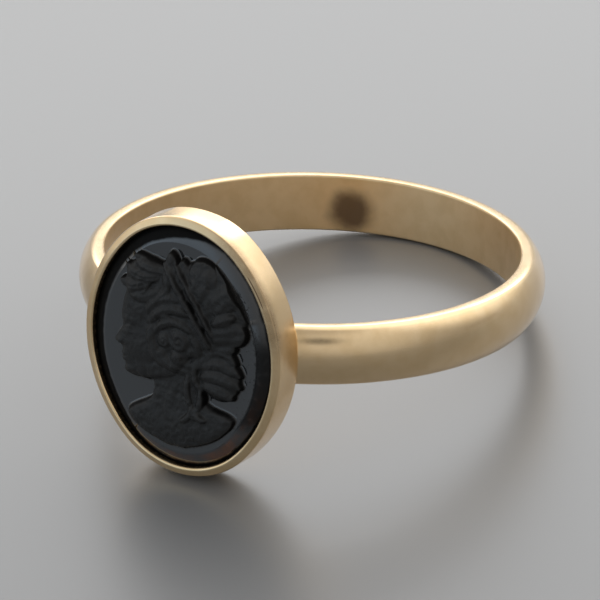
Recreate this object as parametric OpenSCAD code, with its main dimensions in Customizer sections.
// Finger ring with an oval cameo in a closed bezel.
// The ring lies as it rests by itself on a table: on the bezel's lower back edge and the back of the shank.

/* [Shank] */
// Diameter of the finger hole
bore_d = 16.5; // [14:0.1:21]
// Width of the shank along the finger
band_w = 2.4; // [1.6:0.1:4]
// Thickness of the shank at its crown
band_t = 1.0; // [0.8:0.05:1.8]
// Height of the straight side of the shank, from the finger hole out
band_side = 0.34; // [0.25:0.01:0.5]
// Radius of the shank's rounded shoulders
shoulder_r = 0.35; // [0.2:0.01:0.5]
// Radius of the softened edges of the finger hole
hole_edge_r = 0.1; // [0.05:0.01:0.15]

/* [Bezel] */
// Height of the opening in the bezel, along the finger
opening_h = 9.8; // [8.6:0.1:14]
// Width of the opening in the bezel, across the finger
opening_w = 8.1; // [6.2:0.1:9]
// Width of the gold from the opening to the outer wall
lip_w = 0.4; // [0.35:0.01:0.6]
// Height of the lip's crest above the edge of the opening
lip_rise = 0.24; // [0.2:0.01:0.3]
// Depth of the bezel from its crest to its flat back
bezel_depth = 1.5; // [1.4:0.05:2.5]
// Thickness of the bezel's back plate
plate_t = 0.5; // [0.4:0.01:0.7]
// How far the flat back reaches in past the top of the finger hole, where it is filed away
back_sink = 0.15; // [0.15:0.01:0.2]
// Distance that the filed back stands clear of the finger hole
file_gap = 0.02; // [0.01:0.01:0.05]
// Radius of the hollow filed in the back, which is flatter than the finger hole
saddle_r = 12; // [11.5:0.5:20]
// How far outside the opening the lip's crest lies
crest_out = 0.12; // [0.1:0.01:0.14]
// Radius of the crest's rounding
crest_r = 0.1; // [0.05:0.01:0.1]
// Angle by which the lip's face falls off from the crest to the outer wall
lip_fall = 25; // [15:1:35]
// Radius of the lip's outer rounding
outer_r = 0.12; // [0.08:0.01:0.14]
// Radius of the bezel's back edge
back_r = 0.12; // [0.08:0.01:0.15]

/* [Stone] */
// How far the lip covers the rim of the stone
lip_cover = 0.14; // [0.08:0.01:0.2]
// Clearance between the stone and its seat
seat_gap = 0.03; // [0.02:0.01:0.06]
// Height of the flat field above the edge of the opening
field_rise = 0.25; // [0.15:0.01:0.4]
// Width of the steep outer bevel that shows inside the lip
outer_bevel_w = 0.22; // [0.15:0.01:0.4]
// Height of the steep outer bevel that shows inside the lip
outer_bevel_h = 0.15; // [0.08:0.01:0.2]
// Width of the gentle inner bevel beside the field
inner_bevel_w = 0.36; // [0.2:0.01:0.5]

/* [Relief] */
// Height of the tallest waves of hair above the flat field, less the rise of their own crests
relief_h = 0.6; // [0.3:0.05:0.75]
// Length of the slope by which the figure's edge rises
relief_edge = 0.4; // [0.2:0.05:0.6]
// Steps across the carved face
relief_steps = 60; // [40:2:64]

/* [Hidden] */
$fn = 96;

// The figure is given by shares, so that it grows with the stone: x in hundredths of the opening's half
// width, height in hundredths of its half height, all widths and bows in hundredths of the half width, and
// all rises in hundredths of the relief's height

// The head from the chin up: height, front, back, rise
HEAD = [
    [-31, -49, -35, 50],
    [-29, -56, -25, 60],
    [-26.5, -59, -12, 65],
    [-23, -58.5, -2, 68],
    [-20, -57.5, 2, 70],
    [-17.5, -61, 5, 72],
    [-15.5, -61.5, 6, 73],
    [-14.5, -60, 7, 74],
    [-13.5, -61.5, 9, 74],
    [-11.5, -62.5, 10, 76],
    [-8.5, -60, 12, 78],
    [-6, -62, 15, 80],
    [-4, -68.5, 17, 82],
    [-1.5, -70, 20, 82],
    [2, -67.5, 22, 82],
    [8, -63, 25, 82],
    [13.5, -60, 27, 80],
    [19.5, -62.5, 30, 80],
    [26.5, -61.5, 32, 80],
    [35.5, -59.5, 32, 78],
    [45, -55.5, 32, 70],
    [56, -48, 32, 55]
];

// Neck and bust from the lower edge up: height, front, back, rise
BUST = [
    [-82.5, -11, 6, 48],
    [-79, -27, 21, 50],
    [-75.5, -37, 31, 52],
    [-71.5, -45, 40, 54],
    [-67.5, -51.5, 47, 55],
    [-62, -56.5, 54, 56],
    [-58, -54, 59, 56],
    [-53, -45, 63, 55],
    [-48.5, -35, 64, 54],
    [-45, -29.5, 57, 53],
    [-42.5, -27.5, 37, 52],
    [-36.5, -26.5, 28, 50],
    [-24.5, -28.5, 27, 48],
    [-12, -28.5, 30, 46],
    [12, -22, 32, 42]
];

// Masses of hair: x, height, half width, half height, turn, rise
HAIR_MASSES = [
    [0, 32, 54, 40, 0, 86],
    [32, 42, 46, 36, 0, 72],
    [48, -15, 23, 20, -20, 62],
    [-35, 55, 24, 17, 25, 80]
];

// Soft swells of cheek, brow, throat and shoulder: x, height, half width, half height, turn, rise
SWELLS = [
    [-36, -2, 20, 15, 20, 10],
    [-50, 9, 6, 3, 0, 6],
    [-33, -20, 22, 6, 15, 4],
    [10, -61, 47, 14, 8, 10],
    [-5, -41, 6, 22, -18, 7],
    [-40, 27, 20, 12, 0, 5]
];

// Locks of hair, each a bent oval: start x, start height, end x, end height, bow, half width, rise, end,
// strands. The end is 2 for a round one and more for a blunter one.
LOCKS = [
    [21, 45, 32, 80, -2.5, 16.5, 34, 3, 3],
    [31, 27, 46, 61, 1, 10.5, 24, 3, 2],
    [43, 40, 70, 61, 3.5, 13, 34, 3, 3],
    [41, 30, 68, 41, 0.5, 6.5, 46, 2, 2],
    [36, 20, 78, 28, -1.5, 13, 32, 3, 3],
    [32, 10, 67, 13, -1, 8, 24, 3, 2],
    [-9, 51, -7, 81, -2, 8, 30, 2, 2],
    [4, 49, 6, 77, -2.5, 7.5, 22, 2, 2],
    [-11, 65, -48, 72, 2.5, 6.5, 24, 3, 3],
    [-17, 59, -59, 62, 4, 6.5, 26, 3, 3],
    [-25, 56, -65, 48, 5.5, 6.5, 28, 3, 3],
    [-15, 51, -49, 40, 5, 6, 24, 3, 2],
    [-5, 55, -31, 36, 3.5, 5, 22, 3, 2],
    [-31, 28, 6, 44, 7, 5.5, 24, 3, 2],
    [-28, 19, 19, 34, 10.5, 5.5, 26, 3, 2],
    [-23, 12, 23, 19, 12, 5, 26, 3, 2],
    [-23, 20, -21, 1, -3.5, 4.5, 22, 3, 1],
    [-23, 7, -5, -13, -6, 5.5, 24, 3, 2],
    [-17, -2, 19, -15, -5.5, 5.5, 24, 3, 2],
    [-2, -3, 31, -7, -5.5, 5, 24, 3, 2],
    [19, 18, 26, -7, 4, 4.5, 22, 3, 2],
    [14, -9, 43, 7, -3.5, 4, 22, 3, 1],
    [28, -3, 68, 0, 9.5, 6, 22, 3, 2],
    [26, -10, 73, -10, 9, 6, 22, 3, 2],
    [26, -17, 73, -20, 5.5, 6, 22, 3, 2],
    [28, -24, 65, -30, 1.5, 6, 22, 3, 2],
    [27, -1, 30, -31, -7, 4, 26, 3, 1],
    [16, -16, 19, -45, -4, 4, 26, 3, 1],
    [20, -41, 7, -58, 4, 3.5, 24, 3, 1],
    [26, -27, 23, -48, 4, 4, 26, 3, 1],
    [22, -43, 37, -53, -4, 3.5, 24, 3, 1]
];

// The two fillets that hold the hair, with the same columns as the locks
FILLETS = [
    [-15, 73, 44, 6, 3.5, 3.5, 44, 9, 0],
    [-2, 74, 48, 15, 3.5, 3, 44, 9, 0]
];

// Brow, eyelids, nostril, lips and chin, with the same columns as the locks
FEATURES = [
    [-61.5, 17.5, -38.5, 16.5, 2.5, 3, 7, 2, 0],
    [-58.5, 10, -42.5, 10, 3, 1.5, 6, 2, 0],
    [-57, 8, -43, 9, -1.5, 1, 4, 2, 0],
    [-64.5, -2.5, -56, -3, 1.5, 3, 8, 2, 0],
    [-64, -11.5, -52.5, -13.5, 0.5, 2, 6, 2, 0],
    [-63, -16.5, -53, -14.5, -0.5, 2, 6, 2, 0],
    [-60, -25, -43, -24, 0, 6.5, 5, 2, 0]
];

// Cuts between the lips, under the nostril, over the eyelid and in the eye, with the locks' columns
CUTS = [
    [-64, -14, -52.5, -14, 0, 1, 7, 2, 0],
    [-61.5, -5.5, -55.5, -5, 0.5, 1, 6, 2, 0],
    [-58, 12.5, -42, 12, 2.5, 1, 5, 2, 0],
    [-52, 9.5, -50.5, 9.5, 0, 0.5, 3, 2, 0]
];

// Curls: x, height, radius, rise
CURLS = [
    [-36, 49, 9, 30],
    [7, 11, 11.5, 34],
    [-10, 9, 8, 28],
    [4, -4, 7, 26],
    [-14, -4, 6, 24],
    [21, 2, 6, 22],
    [23, -49, 6.5, 24],
    [-9, 27, 6.5, 22],
    [53, 36, 5.5, 35]
];

// Sizes that follow from the ones above
bore_r = bore_d / 2;
band_r = bore_r + band_t;
filed_at = bore_r + file_gap;
plate_back = bore_r - back_sink;
plate_top = plate_back + plate_t;
crest = plate_back + bezel_depth;
opening_edge = crest - lip_rise;
field = opening_edge + field_rise;
bevel_fall = outer_bevel_h / outer_bevel_w;

// The lip rises steeply from the opening's edge to the rounding of its crest, by this angle
lip_slope = atan2(lip_rise - crest_r, crest_out) + asin(crest_r / norm([crest_out, lip_rise - crest_r]));

// From there its face falls off until it meets the outer rounding, whose centre is at this depth
face_from = crest_out + crest_r * sin(lip_fall);
face_to = lip_w - outer_r + outer_r * sin(lip_fall);
outer_drop = (face_to - face_from) * tan(lip_fall) + crest_r + (outer_r - crest_r) * cos(lip_fall);

// What a hundredth is in the tables of the figure
share_x = opening_w / 200;
share_z = opening_h / 200;
rise = relief_h / 100;

// Distance over which the outlines of head and bust are softened
soft_d = 0.07;
// Share of its height at which the figure's edge starts
edge_share = 0.45;
// Height of the ledge under hair that hangs over the figure's edge, as a share of the relief's height
ledge_share = 0.42;
// Depth of the grooves between strands, and of a curl's coil, as a share of the lock's or curl's height
groove_share = 0.22;
coil_share = 0.4;
// Turns of a curl's coil from its middle to its edge
coil_turns = 1.6;
// Powers by which a form falls off to its edge: steeply, in a round section, softly, or fading out
steep_fall = 0.3;
round_fall = 0.5;
soft_fall = 1.3;
fading_fall = 1.5;

// The opening is an oval of four quarter arcs that meet at 45 degrees: tight ends and flatter sides
arc_shift = (opening_h - opening_w) / 2 / (2 - sqrt(2));
end_r = opening_h / 2 - arc_shift;
side_r = opening_w / 2 + arc_shift;

// The two corners that the ring rests on, seen from the side, as [along, up, radius]: the filed edge of the
// bezel's back, which is crisp, and a shoulder of the shank
bezel_foot = [-filed_at, -(opening_h / 2 + lip_w), 0];
band_foot = [bore_r + band_side, -(band_w / 2 - shoulder_r), shoulder_r];
foot_run = band_foot[0] - bezel_foot[0];
foot_drop = band_foot[1] - bezel_foot[1];
foot_span = sqrt(pow(foot_run, 2) + pow(foot_drop, 2));
tilt = atan2(foot_drop, foot_run) - asin((band_foot[2] - bezel_foot[2]) / foot_span);

// Where a point [along, up] of the side view comes to lie once the ring is tilted
function tilted(p) = [p[0] * cos(tilt) + p[1] * sin(tilt), p[1] * cos(tilt) - p[0] * sin(tilt)];

// Crown of the shank, an arc that meets both shoulders
shoulder_z = band_w / 2 - shoulder_r;
crown_drop = band_t - band_side;
crown_span = pow(crown_drop, 2) + pow(shoulder_z, 2) - pow(shoulder_r, 2);
crown_r = crown_span / (2 * (crown_drop - shoulder_r));
crown_z = shoulder_z * crown_r / (crown_r - shoulder_r);

// The ring's reach along the table, in front to the lip's crest or its outer rounding, and its lowest point
crest_reach = tilted([crest_r - crest, -(opening_h / 2 + crest_out)])[0] - crest_r;
outer_reach = tilted([outer_drop - crest, outer_r - opening_h / 2 - lip_w])[0] - outer_r;
reach_front = min(crest_reach, outer_reach);
reach_back = (band_r - crown_r) * cos(tilt) + crown_r;
rest_drop = tilted(bezel_foot)[1] - bezel_foot[2];

// Places a shape of the upright ring as it rests on the table, centred
module at_rest() {
    translate([0, -(reach_front + reach_back) / 2, -rest_drop])
        rotate([-tilt, 0, 0])
            children();
}

// Turns a shape drawn flat, with its face up, so that it faces the front of the ring
module face_front() {
    rotate([90, 0, 0]) children();
}

// Turns a section a quarter round the centre of one of the oval's arcs
module quarter(turn, shift) {
    rotate(turn) translate([shift, 0]) rotate(-45) rotate_extrude(angle = 90) children();
}

// Turns sections round the oval's four arcs; the first child is the sides' and the second the ends'
module four_arcs() {
    for (turn = [0, 180]) {
        quarter(turn, -arc_shift) children(0);
        quarter(turn + 90, arc_shift) children(1);
    }
}

// Section of the bezel as a solid block from an arc's centre to its wall, with rounded back edge, outer
// rounding and the lip's sloping face, which runs on to above the crest and is cut there with the seat
module block_section(arc_r) {
    wall = arc_r + lip_w;
    outer_at = crest - outer_drop;
    outer_y = outer_at + outer_r * cos(lip_fall);
    top_y = outer_y + (face_to - crest_out) * tan(lip_fall);
    translate([0, plate_back]) square([wall - back_r, outer_at - plate_back]);
    translate([0, plate_back + back_r]) square([wall, outer_at - plate_back - back_r]);
    translate([wall - back_r, plate_back + back_r]) circle(back_r);
    translate([wall - outer_r, outer_at]) circle(outer_r);
    polygon([
        [0, plate_back + back_r],
        [wall - outer_r, plate_back + back_r],
        [wall - outer_r, outer_at],
        [arc_r + face_to, outer_y],
        [arc_r + crest_out, top_y],
        [0, top_y]
    ]);
}

// Section of the hollow that holds the stone, from an arc's centre out, open at the front
module seat_section(arc_r) {
    seat = arc_r + lip_cover + seat_gap;
    round_x = arc_r + crest_out;
    round_y = crest - crest_r;
    above = 1;
    difference() {
        polygon([
            [0, plate_top],
            [seat, plate_top],
            [seat, opening_edge - bevel_fall * (seat - arc_r)],
            [arc_r, opening_edge],
            [round_x - crest_r * sin(lip_slope), round_y + crest_r * cos(lip_slope)],
            [arc_r + face_from, round_y + crest_r * cos(lip_fall)],
            [arc_r + face_from, crest + above],
            [0, crest + above]
        ]);
        translate([round_x, round_y]) circle(crest_r);
    }
}

// Section of the shank: its crown, then its straight sides with their shoulders and the edges of the finger
// hole; x runs out from the finger hole, y along the finger
module band_section() {
    intersection() {
        translate([band_r - crown_r, 0]) circle(crown_r);
        translate([bore_r + band_side / 2, -crown_z]) square([band_t, 2 * crown_z]);
    }
    translate([bore_r, hole_edge_r - band_w / 2]) square([band_side, band_w - 2 * hole_edge_r]);
    translate([bore_r + hole_edge_r, -band_w / 2]) square([band_side - hole_edge_r, band_w]);
    for (side = [-1, 1]) {
        translate([bore_r + band_side, side * shoulder_z]) circle(shoulder_r);
        translate([bore_r + hole_edge_r, side * (band_w / 2 - hole_edge_r)]) circle(hole_edge_r);
    }
}

// The bezel before its seat is cut, with its back filed clear of the finger hole
module bezel_block() {
    difference() {
        face_front() four_arcs() {
            block_section(side_r);
            block_section(end_r);
        }
        translate([0, saddle_r - filed_at]) cylinder(h = 2 * opening_h, r = saddle_r, center = true);
    }
}

module gold_ring() {
    color("#d2be96") at_rest() {
        difference() {
            union() {
                rotate_extrude() band_section();
                bezel_block();
            }
            face_front() four_arcs() {
                seat_section(side_r);
                seat_section(end_r);
            }
        }
    }
}

// A point of the oval at the normal angle given, a distance out from the opening's edge
function oval_point(turn, out) =
    let (wide = abs(turn) <= 45 || abs(turn) >= 135)
    let (side = wide ? [abs(turn) <= 45 ? -1 : 1, 0] : [0, turn > 0 ? 1 : -1])
    side * arc_shift + ((wide ? side_r : end_r) + out) * [cos(turn), sin(turn)];

// Pairs of height and another column of a table of the head or bust, and that column's softened value
function pairs(rows, column, unit) = [for (r = rows) [r[0] * share_z, r[column] * unit]];
function soft(table, z) =
    let (below = lookup(z - soft_d, table), here = lookup(z, table), above = lookup(z + soft_d, table))
    (below + 2 * here + above) / 4;

// How much that softened value changes with the height
function lean(table, z) = (soft(table, z + soft_d) - soft(table, z - soft_d)) / (2 * soft_d);

head_front = pairs(HEAD, 1, share_x);
head_back = pairs(HEAD, 2, share_x);
head_rise = pairs(HEAD, 3, rise);
bust_front = pairs(BUST, 1, share_x);
bust_back = pairs(BUST, 2, share_x);
bust_rise = pairs(BUST, 3, rise);

// Height of the head or bust: it rises steeply at the outline, then rounds off to its full height
function slab(x, z, front, back, top) =
    let (low = front[0][0], high = front[len(front) - 1][0])
    z <= low || z >= high ? 0 :
    let (from_front = (x - soft(front, z)) / sqrt(1 + pow(lean(front, z), 2)))
    let (from_back = (soft(back, z) - x) / sqrt(1 + pow(lean(back, z), 2)))
    let (inside = min(from_front, from_back, z - low, high - z))
    inside <= 0 ? 0 :
    let (near = 1 - min(1, inside / relief_edge))
    soft(top, z) * (edge_share + (1 - edge_share) * sqrt(1 - near * near));

// Share of the way from the middle of an oval, 0, to its edge, 1, squared
function in_oval(x, z, m) =
    let (dx = x - m[0] * share_x, dz = z - m[1] * share_z)
    pow((dx * cos(m[4]) + dz * sin(m[4])) / (m[2] * share_x), 2)
    + pow((dz * cos(m[4]) - dx * sin(m[4])) / (m[3] * share_z), 2);

// Height of a mass of hair or a swell, with its form of falling off
function dome(x, z, m, fall) = let (q = in_oval(x, z, m)) q >= 1 ? 0 : m[5] * rise * pow(1 - q, fall);

// Height of a bent oval with its strands
function lock(x, z, k, fall) =
    let (dx = (k[2] - k[0]) * share_x, dz = (k[3] - k[1]) * share_z)
    let (px = x - k[0] * share_x, pz = z - k[1] * share_z)
    let (span = sqrt(dx * dx + dz * dz))
    let (t = (px * dx + pz * dz) / (span * span))
    t <= 0 || t >= 1 ? 0 :
    let (bow = k[4] * share_x, wide = k[5] * share_x)
    let (off = (pz * dx - px * dz) / span - 4 * bow * t * (1 - t))
    let (steepness = 4 * bow * (1 - 2 * t) / span)
    let (across = off / sqrt(1 + steepness * steepness) / wide)
    abs(across) >= 1 ? 0 :
    let (q = pow(abs(2 * t - 1), k[7]) + across * across)
    q >= 1 ? 0 :
    let (groove = k[8] > 1 ? groove_share / 2 * (1 - cos(180 * k[8] * (across + 1))) : 0)
    k[6] * rise * pow(1 - q, fall) * (1 - groove);

// Height of a curl, a round boss with one coil
function curl(x, z, c) =
    let (px = x - c[0] * share_x, pz = z - c[1] * share_z)
    let (q = sqrt(px * px + pz * pz) / (c[2] * share_x))
    q >= 1 ? 0 :
    let (coil = coil_share / 2 * (1 - cos(atan2(pz, px) + 360 * coil_turns * q)))
    c[3] * rise * sqrt(1 - q * q) * (1 - coil);

// Height of the figure above the flat field
function relief(x, z) =
    let (head = slab(x, z, head_front, head_back, head_rise))
    let (bust = slab(x, z, bust_front, bust_back, bust_rise))
    let (plain = max(head, bust, max([for (m = HAIR_MASSES) dome(x, z, m, steep_fall)])))
    let (body = plain > 0 ? plain + sum([for (m = SWELLS) dome(x, z, m, fading_fall)]) : 0)
    let (locks = max([for (k = concat(LOCKS, FILLETS)) lock(x, z, k, round_fall)]))
    let (hair = max(locks, max([for (c = CURLS) curl(x, z, c)])))
    let (face = body > 0 ? max([for (k = FEATURES) lock(x, z, k, soft_fall)]) : 0)
    let (cuts = sum([for (k = CUTS) lock(x, z, k, round_fall)]))
    max(body + face, hair > 0 ? max(body, ledge_share * relief_h) + hair : 0) - cuts;

function sum(list) = list * [for (i = list) 1];

// A height of the grid softened by its eight neighbours
function softened(rows, i, j) =
    let (weights = [1, 2, 1])
    let (lines = [for (a = [-1:1]) weights * [for (b = [-1:1]) rows[i + a][j + b]]])
    weights * lines / 16;

// Normal angle and place in the oval field of a point of a square of side 2
function turn_at(u, v) = u == 0 && v == 0 ? 0 : atan2(v * sqrt(1 - u * u / 2), u * sqrt(1 - v * v / 2));
function in_field(u, v) =
    sqrt(u * u + v * v - u * u * v * v) * oval_point(turn_at(u, v), -outer_bevel_w - inner_bevel_w);

// The carved stone, face up: a grid over field and relief, then two bevels, the girdle and the back
module carved_stone() {
    n = relief_steps;
    steps = [for (i = [0:n]) 2 * i / n - 1];
    heights = [for (u = steps) [for (v = steps) let (p = in_field(u, v)) relief(p[0], p[1])]];

    // Each height is softened by its neighbours, as tumbling softens a carving; the border stays flat
    face = [for (i = [0:n], j = [0:n])
        let (p = in_field(steps[i], steps[j]), inside = i > 0 && i < n && j > 0 && j < n)
        [p[0], p[1], field + (inside ? softened(heights, i, j) : 0)]];

    // The grid's border, once round
    border = concat(
        [for (i = [0:n - 1]) [i, 0]],
        [for (i = [0:n - 1]) [n, i]],
        [for (i = [0:n - 1]) [n - i, n]],
        [for (i = [0:n - 1]) [0, n - i]]
    );
    border_at = [for (b = border) b[0] * (n + 1) + b[1]];

    // Each further ring as [distance out from the opening, height]
    drop = seat_gap * sqrt(1 + bevel_fall * bevel_fall);
    rings = [
        [-outer_bevel_w, opening_edge + outer_bevel_h - drop],
        [lip_cover, opening_edge - bevel_fall * lip_cover - drop],
        [lip_cover, plate_top + seat_gap]
    ];
    turns = [for (b = border) turn_at(steps[b[0]], steps[b[1]])];
    round_points = [for (r = rings, turn = turns) let (p = oval_point(turn, r[0])) [p[0], p[1], r[1]]];

    count = 4 * n;
    first = len(face);
    middle = first + len(rings) * count;
    ring_loops = [for (r = [0:len(rings) - 1]) [for (i = [0:count - 1]) first + r * count + i]];
    loops = concat([border_at], ring_loops);

    top = [for (i = [0:n - 1], j = [0:n - 1])
        let (a = i * (n + 1) + j, b = a + n + 1, c = b + 1, d = a + 1)
        each (i < n / 2) == (j < n / 2) ? [[a, d, c], [a, c, b]] : [[a, d, b], [d, c, b]]];
    sides = [for (r = [0:len(rings) - 1], i = [0:count - 1])
        let (j = (i + 1) % count, upper = loops[r], lower = loops[r + 1])
        each [[upper[i], upper[j], lower[j]], [upper[i], lower[j], lower[i]]]];
    last = loops[len(rings)];
    back = [for (i = [0:count - 1]) [middle, last[i], last[(i + 1) % count]]];

    polyhedron(concat(face, round_points, [[0, 0, plate_top + seat_gap]]), concat(top, sides, back));
}

module cameo() {
    color("#1d1b1b") at_rest() face_front() carved_stone();
}

gold_ring();
cameo();
